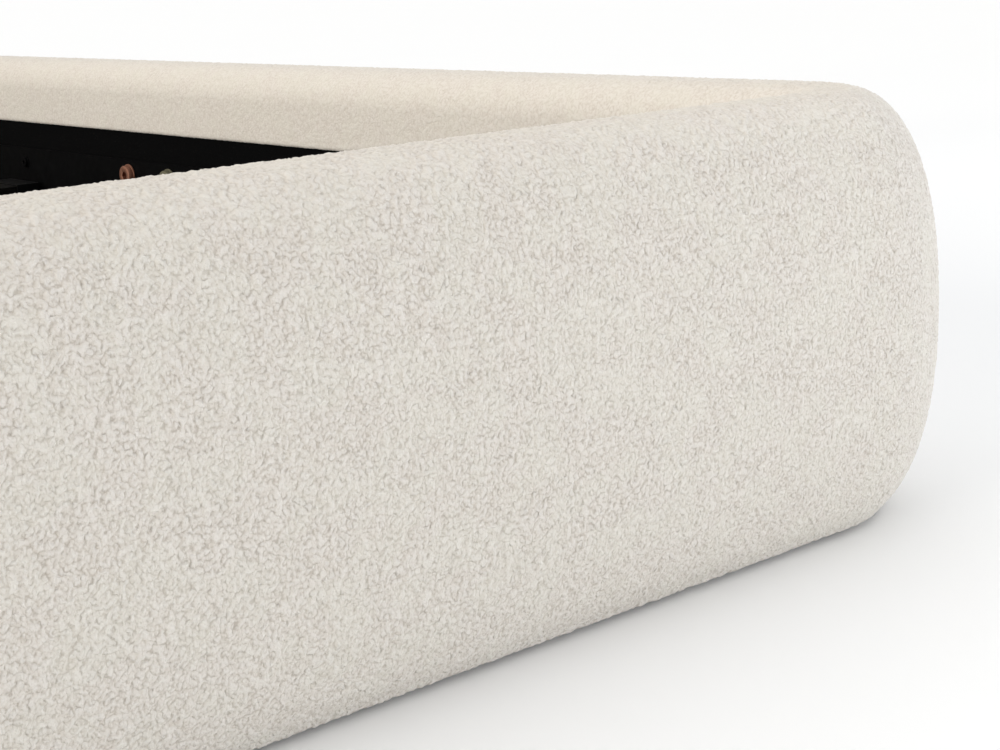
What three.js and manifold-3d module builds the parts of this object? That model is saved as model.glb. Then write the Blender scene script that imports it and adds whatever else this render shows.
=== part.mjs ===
// A low upholstered bed: padded foot and side rails that reach the floor, a padded headboard,
// and a steel and slat base inside. Every separate piece of the real bed is its own mesh.
// Millimetres. X is the width, +Y runs from the foot to the headboard, +Z is up.
// The origin is on the floor, under the middle of the bed.

import * as THREE from 'three';
import { mergeVertices } from 'three/addons/utils/BufferGeometryUtils.js';
import Module from 'manifold-3d';

const wasm = await Module();
wasm.setup();

// ---------------------------------------------------------------- driving dimensions

const GAP = 0.3; // left between pieces that touch

// The clear space inside the rails, for a 1524 x 2032 mattress.
const well = { halfWidth: 775, halfLength: 1025 };

// Padded rail section: "out" is measured outwards from its inner face.
const rail = {
  thickness: 125,
  height: 330,
  floorGap: 4,
  bulge: 73, // how far the rounded outside stands beyond the line of the top
  bulgeHeight: 163, // height of the widest point
  fullness: 2.3, // of the outside: 2 is an ellipse, more has fuller shoulders
  innerRounding: 36,
  innerCorner: 38, // plan radius of the inner corners at the foot
};
const footPadReach = 300; // how far the foot pad's ends run back along the sides
const padJoint = 1; // between the foot pad and the side pads

const board = { thickness: 18, inset: 3.5, bottom: 8, top: 270 };
const lining = { thickness: 2, inset: 1, bottom: 12, top: 247 };
const former = { radius: 100 };

const headboard = {
  halfWidth: 945, // the rails end against its flat front, inside the rounded edge
  height: 1050,
  depth: 125,
  topCorner: 180,
  bottomCorner: 50,
  edgeRounding: 45, // on the front edges only: the back is square
};
const pocket = { halfWidth: 800, top: 950, depth: 62 }; // in the pad's back, for the timber frame
const headPanel = { thickness: 9 };
const frameTimber = { width: 60, depth: 45, bottomRail: 90 };
const backCover = { thickness: 2 };

const slat = { count: 13, width: 80, thickness: 12, halfLength: 765 };
const support = { top: 158, centreY: -12, length: 2006 }; // the level that the slats rest on
const ledger = { vertical: 60, horizontal: 40, steel: 3 };
const tube = { height: 40, wall: 1.5 };
const beam = { width: 40 };
const crossBar = { width: 20, endX: 768 };
const shelf = { wall: 54, barWall: 40, reach: 38, steel: 3, beamWidth: 60, barWidth: 60 };
const cornerBracket = { leg: 70, steel: 3, bottom: 40, height: 100 };

const leg = { radius: 19, wall: 1.5, bottom: 24, flange: 20, flangeThickness: 3, plug: 12 };
const foot = { padRadius: 22, padEdge: 8, padTop: 12, screwRadius: 5, screwTop: 60 };
const legSpacing = 640;
const glide = { radius: 18, thickness: 3.4, stem: 6 };

// The bolts that hold each ledger to its rail, a pair on each side near the middle.
const bolt = {
  middleY: -22,
  height: 196,
  spacing: 96,
  shank: 4,
  clearance: 0.3,
  washer: 14,
  washerThickness: 2,
  head: 12.5,
  headHeight: 6,
  headChamfer: 1.5,
  socket: 5.5,
  socketDepth: 4,
};

const innerX = well.halfWidth;
const footY = -well.halfLength;
const headY = well.halfLength;

// ---------------------------------------------------------------- materials

function material(color, roughness, metalness = 0) {
  return new THREE.MeshStandardMaterial({ color, roughness, metalness });
}

const boucle = material(0xe4dcd2, 0.95);
const plywood = material(0x241f1b, 0.7);
const timber = material(0xd8b98a, 0.75);
const blackCloth = material(0x0c0c0c, 0.95);
const blackSteel = material(0x121212, 0.45, 0.6);
const blackSlat = material(0x17130f, 0.5);
const blackPlastic = material(0x101010, 0.5);
const zinc = material(0xb9b9b4, 0.35, 0.9);
const bronze = material(0xa8672c, 0.4, 0.85);

// ---------------------------------------------------------------- helpers

const bed = new THREE.Group();

function add(name, geometry, surface, x = 0, y = 0, z = 0, turn = 0) {
  const mesh = new THREE.Mesh(geometry, surface);
  mesh.name = name;
  mesh.position.set(x, y, z);
  mesh.rotation.z = turn;
  bed.add(mesh);
}

function box(x0, x1, y0, y1, z0, z1) {
  const geometry = new THREE.BoxGeometry(x1 - x0, y1 - y0, z1 - z0);
  return geometry.translate((x0 + x1) / 2, (y0 + y1) / 2, (z0 + z1) / 2);
}

// The same box on the left (side -1) or on the right (side +1).
function sideBox(side, x0, x1, y0, y1, z0, z1) {
  return side > 0 ? box(x0, x1, y0, y1, z0, z1) : box(-x1, -x0, y0, y1, z0, z1);
}

function outline(points) {
  return new THREE.Shape(points.map(([x, y]) => new THREE.Vector2(x, y)));
}

// A section drawn in x and z, extruded along y and centred on it.
function extrudeAlongY(shape, length) {
  const geometry = new THREE.ExtrudeGeometry(shape, { depth: length, bevelEnabled: false });
  return geometry.translate(0, 0, -length / 2).rotateX(Math.PI / 2);
}

// A profile of [radius, height] points turned about the z axis.
function turned(profile, segments = 24) {
  const points = profile.map(([r, h]) => new THREE.Vector2(r, h));
  return new THREE.LatheGeometry(points, segments).rotateX(Math.PI / 2);
}

function toSolid(geometry) {
  const bare = new THREE.BufferGeometry();
  bare.setAttribute('position', geometry.attributes.position);
  bare.setIndex(geometry.index);
  const merged = mergeVertices(bare, 1e-4);
  const vertProperties = Float32Array.from(merged.attributes.position.array);
  const triVerts = Uint32Array.from(merged.index.array);
  return new wasm.Manifold(new wasm.Mesh({ numProp: 3, vertProperties, triVerts }));
}

function cut(geometry, ...tools) {
  let solid = toSolid(geometry);
  for (const tool of tools) {
    solid = solid.subtract(toSolid(tool));
  }
  const mesh = solid.getMesh();
  const result = new THREE.BufferGeometry();
  result.setAttribute('position', new THREE.BufferAttribute(mesh.vertProperties, 3));
  result.setIndex(new THREE.BufferAttribute(mesh.triVerts, 1));
  return result;
}

// ---------------------------------------------------------------- bolt holes

function boltPlaces() {
  return [-0.5, 0.5].map((k) => bolt.middleY + k * bolt.spacing);
}

// Cylinders through everything that the bolts on one side pass through.
function boltHoles(side) {
  const reach = 60;
  return boltPlaces().map((y) => {
    const radius = bolt.shank + bolt.clearance;
    const hole = new THREE.CylinderGeometry(radius, radius, reach, 16).rotateZ(Math.PI / 2);
    return hole.translate(side * innerX, y, bolt.height);
  });
}

// ---------------------------------------------------------------- padded rails

function fuller(value) {
  return Math.sign(value) * Math.abs(value) ** (2 / rail.fullness);
}

// The rail's section, x outwards from the inner face and y up: a full half oval outside,
// a flat top, and a quarter circle down to the straight inner face.
function railSection() {
  const apexOut = rail.thickness - rail.bulge;
  const rise = rail.height - rail.bulgeHeight;
  const drop = (rail.bulgeHeight - rail.floorGap) / rise;
  const lowest = -Math.asin(drop ** (rail.fullness / 2));
  const points = [];
  const below = 6;
  const above = 9;
  for (let i = -below; i <= above; i++) {
    const angle = i < 0 ? (lowest * -i) / below : ((Math.PI / 2) * i) / above;
    const out = apexOut + rail.bulge * fuller(Math.cos(angle));
    points.push([out, rail.bulgeHeight + rise * fuller(Math.sin(angle))]);
  }
  const insideSteps = 6;
  const r = rail.innerRounding;
  for (let i = 0; i <= insideSteps; i++) {
    const angle = Math.PI / 2 + ((Math.PI / 2) * i) / insideSteps;
    points.push([r + r * Math.cos(angle), rail.height - r + r * Math.sin(angle)]);
  }
  points.push([0, rail.floorGap]);
  return outline(points);
}

// Carries a section through stations. Each station has a point on the inner face and the
// outward direction there; the stations run so that outwards, up and onwards are right-handed.
function sweep(section, stations) {
  const steps = stations.length - 1;
  const geometry = new THREE.ExtrudeGeometry(section, { depth: steps, steps, bevelEnabled: false });
  const position = geometry.attributes.position;
  for (let i = 0; i < position.count; i++) {
    const { x, y, outX, outY } = stations[Math.round(position.getZ(i))];
    const out = position.getX(i);
    position.setXYZ(i, x + outX * out, y + outY * out, position.getY(i));
  }
  return geometry;
}

// Down the right side, round the foot and back up the left side.
function footStations() {
  const cornerX = well.halfWidth - rail.innerCorner;
  const cornerY = footY + rail.innerCorner;
  const endY = footY - rail.thickness + footPadReach;
  const stations = [{ x: innerX, y: endY, outX: 1, outY: 0 }];
  const steps = 9;
  for (const [centreX, startAngle] of [[cornerX, 0], [-cornerX, -Math.PI / 2]]) {
    for (let i = 0; i <= steps; i++) {
      const angle = startAngle - ((Math.PI / 2) * i) / steps;
      const outX = Math.cos(angle);
      const outY = Math.sin(angle);
      const x = centreX + rail.innerCorner * outX;
      const y = cornerY + rail.innerCorner * outY;
      stations.push({ x, y, outX, outY });
    }
  }
  stations.push({ x: -innerX, y: endY, outX: -1, outY: 0 });
  return stations;
}

function formerCylinder(side, clearance) {
  const height = board.top - board.bottom + clearance;
  const radius = former.radius + clearance;
  const geometry = new THREE.CylinderGeometry(radius, radius, height, 32).rotateX(Math.PI / 2);
  const x = side * (well.halfWidth - rail.innerCorner);
  return geometry.translate(x, footY + rail.innerCorner, board.bottom + height / 2);
}

// The room for the boards: everything inside their outer faces and below their tops.
function boardSpace(clearance) {
  const out = board.inset + board.thickness + clearance;
  const x = innerX + out;
  return box(-x, x, footY - out, headY + 100, -10, board.top + clearance);
}

function addFootRail() {
  const pad = sweep(railSection(), footStations());
  const formers = [-1, 1].map((side) => formerCylinder(side, GAP).translate(0, 0, -board.bottom));
  const lower = [-1, 1].map((side) => formerCylinder(side, GAP));
  add('foot_pad', cut(pad, boardSpace(GAP), ...formers, ...lower), boucle);

  const out = board.inset + board.thickness;
  const boardX = innerX + out;
  const plank = box(-boardX, boardX, footY - out, footY - board.inset, board.bottom, board.top);
  add('foot_board', plank, plywood);

  const liningY = footY - lining.inset;
  const liningX = innerX - 5;
  const sheet = box(-liningX, liningX, liningY - lining.thickness, liningY, lining.bottom, lining.top);
  add('foot_lining', sheet, blackCloth);
}

function addSideRail(side, word) {
  const padStart = footY - rail.thickness + footPadReach + padJoint;
  const padEnd = headY - padJoint;
  const section = railSection();
  const straight = [padEnd, padStart].map((y) => ({ x: innerX, y, outX: 1, outY: 0 }));
  const mirrored = [padStart, padEnd].map((y) => ({ x: -innerX, y, outX: -1, outY: 0 }));
  const pad = sweep(section, side > 0 ? straight : mirrored);
  add(`side_pad_${word}`, cut(pad, boardSpace(GAP)), boucle);

  const out = innerX + board.inset;
  const startY = footY - board.inset + GAP;
  const endY = headY - GAP;
  const plank = sideBox(side, out, out + board.thickness, startY, endY, board.bottom, board.top);
  const holes = boltHoles(side);
  add(`side_board_${word}`, cut(plank, ...holes), plywood);

  const cloth = innerX + lining.inset;
  const back = cloth + lining.thickness;
  const sheet = sideBox(side, cloth, back, footY + GAP, headY - 5, lining.bottom, lining.top);
  add(`side_lining_${word}`, cut(sheet, ...holes), blackCloth);
}

// A quarter-round timber block behind each foot corner, outside the two boards.
function addCornerFormer(side, word) {
  const beyond = 200;
  const boards = boardSpace(GAP);
  const centreX = well.halfWidth - rail.innerCorner;
  const inwards = sideBox(side, -beyond, centreX, footY - beyond, footY + beyond, -10, board.top + 10);
  const backwards = box(-1000, 1000, footY + rail.innerCorner, footY + beyond, -10, board.top + 10);
  add(`corner_former_${word}`, cut(formerCylinder(side, 0), boards, inwards, backwards), timber);
}

// ---------------------------------------------------------------- headboard

// A slab with rounded front edges, hollowed at the back for the timber frame.
function headboardPad() {
  const e = headboard.edgeRounding;
  const x = headboard.halfWidth - e;
  const bottom = rail.floorGap + e;
  const top = headboard.height - e;
  const rTop = headboard.topCorner - e;
  const rBottom = headboard.bottomCorner - e;
  const shape = new THREE.Shape();
  shape.moveTo(-x, bottom + rBottom);
  shape.absarc(-x + rBottom, bottom + rBottom, rBottom, Math.PI, 1.5 * Math.PI);
  shape.absarc(x - rBottom, bottom + rBottom, rBottom, 1.5 * Math.PI, 2 * Math.PI);
  shape.absarc(x - rTop, top - rTop, rTop, 0, Math.PI / 2);
  shape.absarc(-x + rTop, top - rTop, rTop, Math.PI / 2, Math.PI);
  // The slab is rounded on both faces and twice as thick, so that its back half can be cut away.
  const depth = 2 * (headboard.depth - e);
  const rounding = { bevelThickness: e, bevelSize: e, bevelSegments: 5 };
  const slab = new THREE.ExtrudeGeometry(shape, { depth, curveSegments: 8, ...rounding });
  const back = headY + headboard.depth;
  slab.translate(0, 0, -depth / 2).rotateX(Math.PI / 2).translate(0, back, 0);
  const beyond = 2 * headboard.height;
  const backHalf = box(-beyond, beyond, back, back + beyond, -beyond, beyond);
  const pocketX = pocket.halfWidth;
  const hollow = box(-pocketX, pocketX, back - pocket.depth, back + 10, -10, pocket.top);
  return cut(slab, backHalf, hollow);
}

function addHeadboard() {
  add('headboard_pad', headboardPad(), boucle);

  const back = headY + headboard.depth;
  const x = pocket.halfWidth - GAP;
  const top = pocket.top - GAP;
  const bottom = board.bottom;
  const panelY = back - pocket.depth + GAP;
  const frameY = panelY + headPanel.thickness + GAP;
  const frameBack = frameY + frameTimber.depth;
  const coverY = frameBack + GAP;
  add('headboard_panel', box(-x, x, panelY, panelY + headPanel.thickness, bottom, top), plywood);
  add('headboard_back_cover', box(-x, x, coverY, coverY + backCover.thickness, bottom, top), blackCloth);

  const inner = x - frameTimber.width;
  for (const [side, word] of [[-1, 'left'], [1, 'right']]) {
    add(`headboard_stile_${word}`, sideBox(side, inner, x, frameY, frameBack, bottom, top), timber);
  }
  const railX = inner - GAP;
  const topRail = top - frameTimber.width;
  const bottomRail = bottom + frameTimber.bottomRail;
  add('headboard_rail_top', box(-railX, railX, frameY, frameBack, topRail, top), timber);
  add('headboard_rail_bottom', box(-railX, railX, frameY, frameBack, bottom, bottomRail), timber);
  const half = frameTimber.width / 2;
  add('headboard_muntin', box(-half, half, frameY, frameBack, bottomRail + GAP, topRail - GAP), timber);
}

// ---------------------------------------------------------------- slat base

// An L with its corner at the origin, one arm up and the other towards -x.
function angleSection(up, across, steel) {
  const inside = [[-steel, up], [-steel, steel], [-across, steel]];
  return outline([[0, 0], [0, up], ...inside, [-across, 0]]);
}

function angleBar(vertical, horizontal, steel, length) {
  return extrudeAlongY(angleSection(vertical, horizontal, steel), length);
}

// A hollow rectangular tube along y, its top face at z = 0.
function hollowBar(width, length) {
  const half = width / 2;
  const section = outline([[-half, -tube.height], [half, -tube.height], [half, 0], [-half, 0]]);
  const w = half - tube.wall;
  const top = -tube.wall;
  const bottom = tube.wall - tube.height;
  const bore = outline([[-w, bottom], [-w, top], [w, top], [w, bottom]]);
  section.holes.push(bore);
  return extrudeAlongY(section, length);
}

// A wall plate with a shelf at its foot, for the end of a beam: the same L as the ledger.
function shelfBracket(width) {
  return angleBar(shelf.wall, shelf.reach, shelf.steel, width);
}

function addSlatBase() {
  const faceX = innerX + lining.inset - GAP;
  const ledgerZ = support.top - ledger.steel;
  const bar = angleBar(ledger.vertical, ledger.horizontal, ledger.steel, support.length);
  bar.translate(faceX, support.centreY, ledgerZ);
  add('ledger_right', cut(bar, ...boltHoles(1)), blackSteel);
  bar.translate(0, -2 * support.centreY, 0).rotateZ(Math.PI);
  add('ledger_left', cut(bar, ...boltHoles(-1)), blackSteel);

  const pitch = (support.length - 10 - slat.width) / (slat.count - 1);
  const slatZ = support.top + GAP;
  for (let i = 0; i < slat.count; i++) {
    const y = support.centreY + (i - (slat.count - 1) / 2) * pitch;
    const number = String(i + 1).padStart(2, '0');
    const plank = new THREE.BoxGeometry(2 * slat.halfLength, slat.width, slat.thickness);
    add(`slat_${number}`, plank, blackSlat, 0, y, slatZ + slat.thickness / 2);
  }

  const beamLength = 2 * (well.halfLength - shelf.steel - 1);
  add('centre_beam', hollowBar(beam.width, beamLength), blackSteel, 0, 0, support.top);
  const shelfZ = support.top - tube.height - GAP - shelf.steel;
  const beamShelf = shelfBracket(shelf.beamWidth);
  const footFace = footY - lining.inset + GAP;
  add('beam_bracket_foot', beamShelf, blackSteel, 0, footFace, shelfZ, -Math.PI / 2);
  add('beam_bracket_head', beamShelf, blackSteel, 0, headY - GAP, shelfZ, Math.PI / 2);

  // The cross bars run under the ledgers, so they sit lower than the beam by the ledger's steel.
  const barStart = beam.width / 2 + GAP;
  const barLength = crossBar.endX - barStart;
  const barTop = ledgerZ - GAP;
  const barShelfZ = barTop - tube.height - GAP - shelf.steel;
  const barShelf = angleBar(shelf.barWall, shelf.reach, shelf.steel, shelf.barWidth);
  const cross = hollowBar(crossBar.width, barLength);
  for (const [side, word] of [[-1, 'left'], [1, 'right']]) {
    const middle = side * (barStart + barLength / 2);
    add(`cross_bar_${word}`, cross, blackSteel, middle, support.centreY, barTop, Math.PI / 2);
    const turn = side > 0 ? 0 : Math.PI;
    add(`cross_bar_bracket_${word}`, barShelf, blackSteel, side * faceX, support.centreY, barShelfZ, turn);
  }
}

// A washer, a broad flat head with a socket, and a shank down to the board's far side.
function boltGeometry() {
  const inside = innerX + lining.inset - GAP - ledger.steel - GAP; // where the washer sits
  const tip = innerX + board.inset + board.thickness - GAP;
  const headTop = bolt.washerThickness + bolt.headHeight;
  return turned([
    [0, inside - tip],
    [bolt.shank, inside - tip],
    [bolt.shank, 0],
    [bolt.washer, 0],
    [bolt.washer, bolt.washerThickness],
    [bolt.head, bolt.washerThickness],
    [bolt.head, headTop - bolt.headChamfer],
    [bolt.head - bolt.headChamfer, headTop],
    [bolt.socket, headTop],
    [bolt.socket, headTop - bolt.socketDepth],
    [0, headTop - bolt.socketDepth],
  ], 20).rotateY(-Math.PI / 2).translate(inside, 0, bolt.height);
}

function addLedgerBolts() {
  for (const [side, word] of [[-1, 'left'], [1, 'right']]) {
    boltPlaces().forEach((y, i) => {
      add(`ledger_bolt_${word}_${i + 1}`, boltGeometry(), bronze, 0, y, 0, side > 0 ? 0 : Math.PI);
    });
  }
}

// Upright steel angles that fasten the four rails to each other, inside the corners.
function addCornerBrackets() {
  const { leg: size, steel } = cornerBracket;
  const section = angleSection(size, size, steel);
  const extrusion = { depth: cornerBracket.height, bevelEnabled: false };
  const geometry = new THREE.ExtrudeGeometry(section, extrusion);
  const x = innerX + lining.inset - GAP;
  const yFoot = footY - lining.inset + GAP;
  const yHead = headY - GAP;
  const z = cornerBracket.bottom;
  add('corner_bracket_foot_right', geometry, blackSteel, x, yFoot, z);
  add('corner_bracket_head_right', geometry, blackSteel, x, yHead, z, Math.PI / 2);
  add('corner_bracket_head_left', geometry, blackSteel, -x, yHead, z, Math.PI);
  add('corner_bracket_foot_left', geometry, blackSteel, -x, yFoot, z, -Math.PI / 2);
}

// ---------------------------------------------------------------- legs, feet and glides

// A tube with a flange at the top and a plug at the bottom, bored for the foot's screw.
function legGeometry() {
  const top = support.top - tube.height - GAP;
  const under = top - leg.flangeThickness;
  const inside = leg.radius - leg.wall;
  const bore = foot.screwRadius + GAP;
  return turned([
    [0, under],
    [inside, under],
    [inside, leg.bottom + leg.plug],
    [bore, leg.bottom + leg.plug],
    [bore, leg.bottom],
    [leg.radius, leg.bottom],
    [leg.radius, under],
    [leg.flange, under],
    [leg.flange, top],
    [0, top],
  ]);
}

function footGeometry() {
  return turned([
    [0, 0],
    [foot.padRadius, 0],
    [foot.padRadius, foot.padEdge],
    [foot.screwRadius * 2, foot.padTop],
    [foot.screwRadius, foot.padTop],
    [foot.screwRadius, foot.screwTop],
    [0, foot.screwTop],
  ]);
}

function addCentreLegs() {
  for (let i = 0; i < 3; i++) {
    const y = support.centreY + (i - 1) * legSpacing;
    add(`centre_leg_${i + 1}`, legGeometry(), blackSteel, 0, y, 0);
    add(`levelling_foot_${i + 1}`, footGeometry(), zinc, 0, y, 0);
  }
}

function addGlides() {
  const stemTop = board.bottom - GAP;
  const geometry = turned([
    [0, 0],
    [glide.radius, 0],
    [glide.radius, glide.thickness],
    [glide.stem, glide.thickness],
    [glide.stem, stemTop],
    [0, stemTop],
  ]);
  const boardMiddle = board.inset + board.thickness / 2;
  const pocketY = headY + headboard.depth - pocket.depth;
  const headFrameY = pocketY + headPanel.thickness + frameTimber.depth / 2;
  for (const [side, word] of [[-1, 'left'], [1, 'right']]) {
    add(`glide_foot_${word}`, geometry, blackPlastic, side * 620, footY - boardMiddle);
    add(`glide_head_${word}`, geometry, blackPlastic, side * 620, headFrameY);
  }
}

addFootRail();
for (const [side, word] of [[-1, 'left'], [1, 'right']]) {
  addSideRail(side, word);
  addCornerFormer(side, word);
}
addHeadboard();
addSlatBase();
addLedgerBolts();
addCornerBrackets();
addCentreLegs();
addGlides();

export default bed;
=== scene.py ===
"""Looks for the low upholstered bed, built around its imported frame.

Metres throughout. +Y runs from the foot of the bed to its headboard, +Z is up, and the floor is z = 0.
Every place comes from the frame's boxes. "Out" is the distance outwards from a rail's inner face.
"""

import math

import bmesh
import bpy
import numpy as np
from mathutils import Matrix, Vector


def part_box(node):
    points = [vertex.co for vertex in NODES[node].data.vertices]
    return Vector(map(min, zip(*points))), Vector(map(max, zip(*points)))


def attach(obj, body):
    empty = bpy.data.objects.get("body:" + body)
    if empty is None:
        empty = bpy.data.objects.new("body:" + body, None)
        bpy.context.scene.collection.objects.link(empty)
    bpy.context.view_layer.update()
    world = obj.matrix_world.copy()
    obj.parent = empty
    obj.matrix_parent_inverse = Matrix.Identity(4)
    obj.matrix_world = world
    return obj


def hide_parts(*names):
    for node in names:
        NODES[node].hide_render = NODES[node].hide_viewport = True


# ---------------------------------------------------------------- frame and driving dimensions

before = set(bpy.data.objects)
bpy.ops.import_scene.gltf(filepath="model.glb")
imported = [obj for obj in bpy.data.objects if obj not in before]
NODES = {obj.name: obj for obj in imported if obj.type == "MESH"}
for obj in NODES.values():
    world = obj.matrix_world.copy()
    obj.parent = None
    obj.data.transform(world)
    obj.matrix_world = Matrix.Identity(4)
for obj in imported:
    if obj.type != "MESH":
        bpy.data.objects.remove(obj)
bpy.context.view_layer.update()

BODY = "bed"
SLAT_COUNT = 13
SIDES = {"left": -1, "right": 1}

foot_low, foot_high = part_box("foot_pad")
board_low, board_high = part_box("side_board_right")
foot_board_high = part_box("foot_board")[1]
side_low, side_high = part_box("side_pad_right")
head_low, head_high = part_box("headboard_pad")
lining_low, lining_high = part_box("side_lining_right")
panel_low, panel_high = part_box("headboard_panel")

RAIL_TOP = foot_high.z
FLOOR_GAP = foot_low.z
BOARD_INSET = 0.0035  # from the rail's inner face to the board behind it
WELL_X = board_low.x - BOARD_INSET
FOOT_Y = foot_board_high.y + BOARD_INSET
RAIL_THICK = foot_high.x - WELL_X
BULGE = 0.073
BULGE_Z = 0.163
FULLNESS = 2.3  # 2 is an ellipse
INNER_ROUNDING = 0.036
INNER_CALM = 0.35  # how much of their height the loops keep where the cloth is pulled tight inside
INNER_CORNER = 0.038
COVER_HEM_Z = lining_high.z + 0.002
COVER_LIP = 0.003  # the cover's thickness in front of the board
HEM_ROUND = 0.002  # rounding of the hem's lower edge
UNDER_TURN = 0.006  # how far above the rail's lowest edge its round outside ends
UNDER_FLAT = 0.009  # in from there to where the rail's underside is flat
JOINT_CLOSING = 0.0005  # how far each pad reaches into the gap between the foot and side pads
BOARD_GAP = 0.0003  # between a pad's hidden side and the board in it
BOARD_TOP = board_high.z + BOARD_GAP
BOARD_OUT = board_high.x + BOARD_GAP - WELL_X

COARSENESS = 1
FOOT_STEP = 0.0019 * COARSENESS  # between the points of each cover's mesh
RIGHT_STEP = 0.0024 * COARSENESS
LEFT_STEP = 0.003 * COARSENESS
HEADBOARD_STEP = 0.003 * COARSENESS
HIDDEN_STEP = 0.02  # the same against the board
CORNER_STEP_OUT = 0.85  # share of the rail's thickness where a corner's points are a step apart
LOOP_SIZE = 0.0027  # across one loop of the boucle
LOOP_BEND = LOOP_SIZE * 0.8  # how far a loop's outline wanders
DOME_SIZE = LOOP_SIZE * 0.75
CREASE_SIZE = LOOP_SIZE * 1.6
CLUMP_SIZE = LOOP_SIZE * 2.5
YARN_SIZE = 0.0011
PATCH_SIZE = 0.03
CURL_HEIGHT = 0.0022  # from the gaps between the loops to their tops
CURL_MIDDLE = 0.6  # the curl field's value that lies on the pad's own surface

# ---------------------------------------------------------------- node helpers


def socket_value(sockets, key, value, links):
    socket = sockets[key]
    if isinstance(value, bpy.types.NodeSocket):
        links.new(value, socket)
    else:
        socket.default_value = value


def node(tree, kind, inputs=None, **properties):
    """A node of that kind, with its properties set and its inputs linked or filled."""
    made = tree.nodes.new(kind)
    for name, value in properties.items():
        setattr(made, name, value)
    for key, value in (inputs or {}).items():
        socket_value(made.inputs, key, value, tree.links)
    return made


def maths(tree, operation, *values):
    made = node(tree, "ShaderNodeMath", operation=operation)
    for i, value in enumerate(values):
        socket_value(made.inputs, i, value, tree.links)
    return made.outputs[0]


def vector_maths(tree, operation, *values):
    made = node(tree, "ShaderNodeVectorMath", operation=operation)
    for i, value in enumerate(values):
        socket_value(made.inputs, i, value, tree.links)
    return made.outputs["Vector"]


def scaled(tree, vector, factor):
    made = node(tree, "ShaderNodeVectorMath", {0: vector, "Scale": factor}, operation="SCALE")
    return made.outputs["Vector"]


def ramp(tree, factor, low, high, to_low=0.0, to_high=1.0):
    made = node(
        tree,
        "ShaderNodeMapRange",
        {"Value": factor, "From Min": low, "From Max": high, "To Min": to_low, "To Max": to_high},
        interpolation_type="SMOOTHSTEP",
    )
    return made.outputs["Result"]


def mix_colour(tree, factor, a, b):
    made = node(tree, "ShaderNodeMix", data_type="RGBA")
    socket_value(made.inputs, 0, factor, tree.links)
    socket_value(made.inputs, 6, a, tree.links)
    socket_value(made.inputs, 7, b, tree.links)
    return made.outputs[2]


def noise(tree, vector, size, detail=2.0, roughness=0.5):
    """Noise whose features are about size across. Gives its value and its colour."""
    made = node(
        tree,
        "ShaderNodeTexNoise",
        {"Vector": vector, "Scale": 1 / size, "Detail": detail, "Roughness": roughness},
    )
    return made.outputs[0], made.outputs[1]


def cells(tree, vector, size):
    """Distance to the nearest cell centre, as a share of the cell's size."""
    made = node(tree, "ShaderNodeTexVoronoi", {"Vector": vector, "Scale": 1 / size}, feature="F1")
    return made.outputs["Distance"]


def creased(tree, vector, size):
    """Puffy lumps about size across, with sharp creases between them: 0 in a crease, about 1 on top."""
    value, _ = noise(tree, vector, size, detail=0.0)
    signed = maths(tree, "MULTIPLY_ADD", value, 2.0, -1.0)
    return ramp(tree, maths(tree, "ABSOLUTE", signed), 0.0, 0.5)


def curl_field(tree, position):
    """The boucle's loops: their height, about 0 in the gaps and 1 on top, and how deep in a gap it is."""
    _, bend = noise(tree, position, LOOP_SIZE, detail=1.0)
    bend = vector_maths(tree, "SUBTRACT", bend, (0.5, 0.5, 0.5))
    bent = vector_maths(tree, "ADD", position, scaled(tree, bend, LOOP_BEND))
    centre = cells(tree, bent, DOME_SIZE)
    dome = maths(tree, "SUBTRACT", 1.0, maths(tree, "MULTIPLY", centre, centre))
    lumps = creased(tree, bent, CREASE_SIZE)
    creases = ramp(tree, lumps, 0.0, 0.24, 1.0, 0.0)
    edges = ramp(tree, dome, 0.5, 0.9, 1.0, 0.3)
    gap = maths(tree, "MULTIPLY", creases, edges)
    clump, _ = noise(tree, position, CLUMP_SIZE, detail=1.0)
    height = maths(tree, "MULTIPLY_ADD", lumps, 0.35, maths(tree, "MULTIPLY", dome, 0.55))
    return maths(tree, "MULTIPLY_ADD", clump, 0.3, height), gap


# ---------------------------------------------------------------- materials

# Painted shade and light on the loops: darker where a loop is low, lighter on its top.
LOOP_LOW_PAINTED_SHADE = (0.648, 0.594, 0.528, 1)
LOOP_TOP_PAINTED_LIGHT = (0.705, 0.659, 0.599, 1)
# Painted shade in the gaps between the loops.
GAP_PAINTED_SHADE = (0.38, 0.325, 0.26, 1)
PATCH_TINT = (0.7, 0.675, 0.585, 1)
GAP_PAINTED_SHADE_AMOUNT = 0.45  # how much of the painted shade in the gaps shows
COAT_BLACK = (0.001, 0.001, 0.0012, 1)
COAT_RUBBED = (0.0035, 0.0035, 0.0038, 1)
SLAT_DARK = (0.0015, 0.0013, 0.0012, 1)
SLAT_LIGHT = (0.005, 0.0042, 0.0036, 1)
STAIN_DARK = (0.008, 0.006, 0.005, 1)
STAIN_LIGHT = (0.02, 0.016, 0.013, 1)
PINE_DARK = (0.5, 0.32, 0.16, 1)
PINE_LIGHT = (0.74, 0.56, 0.34, 1)


def new_material(name):
    """A material with an empty tree but for its Principled shader. Gives the material, tree and shader."""
    material = bpy.data.materials.new(name)
    material.use_nodes = True
    tree = material.node_tree
    shader = tree.nodes["Principled BSDF"]
    return material, tree, shader


def set_shader(tree, shader, **inputs):
    for key, value in inputs.items():
        socket_value(shader.inputs, key.replace("_", " "), value, tree.links)


def object_position(tree):
    return node(tree, "ShaderNodeTexCoord").outputs["Object"]


def object_normal(tree):
    return node(tree, "ShaderNodeTexCoord").outputs["Normal"]


def bump(tree, height, distance):
    inputs = {"Height": height, "Distance": distance, "Strength": 1.0}
    return node(tree, "ShaderNodeBump", inputs).outputs["Normal"]


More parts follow.
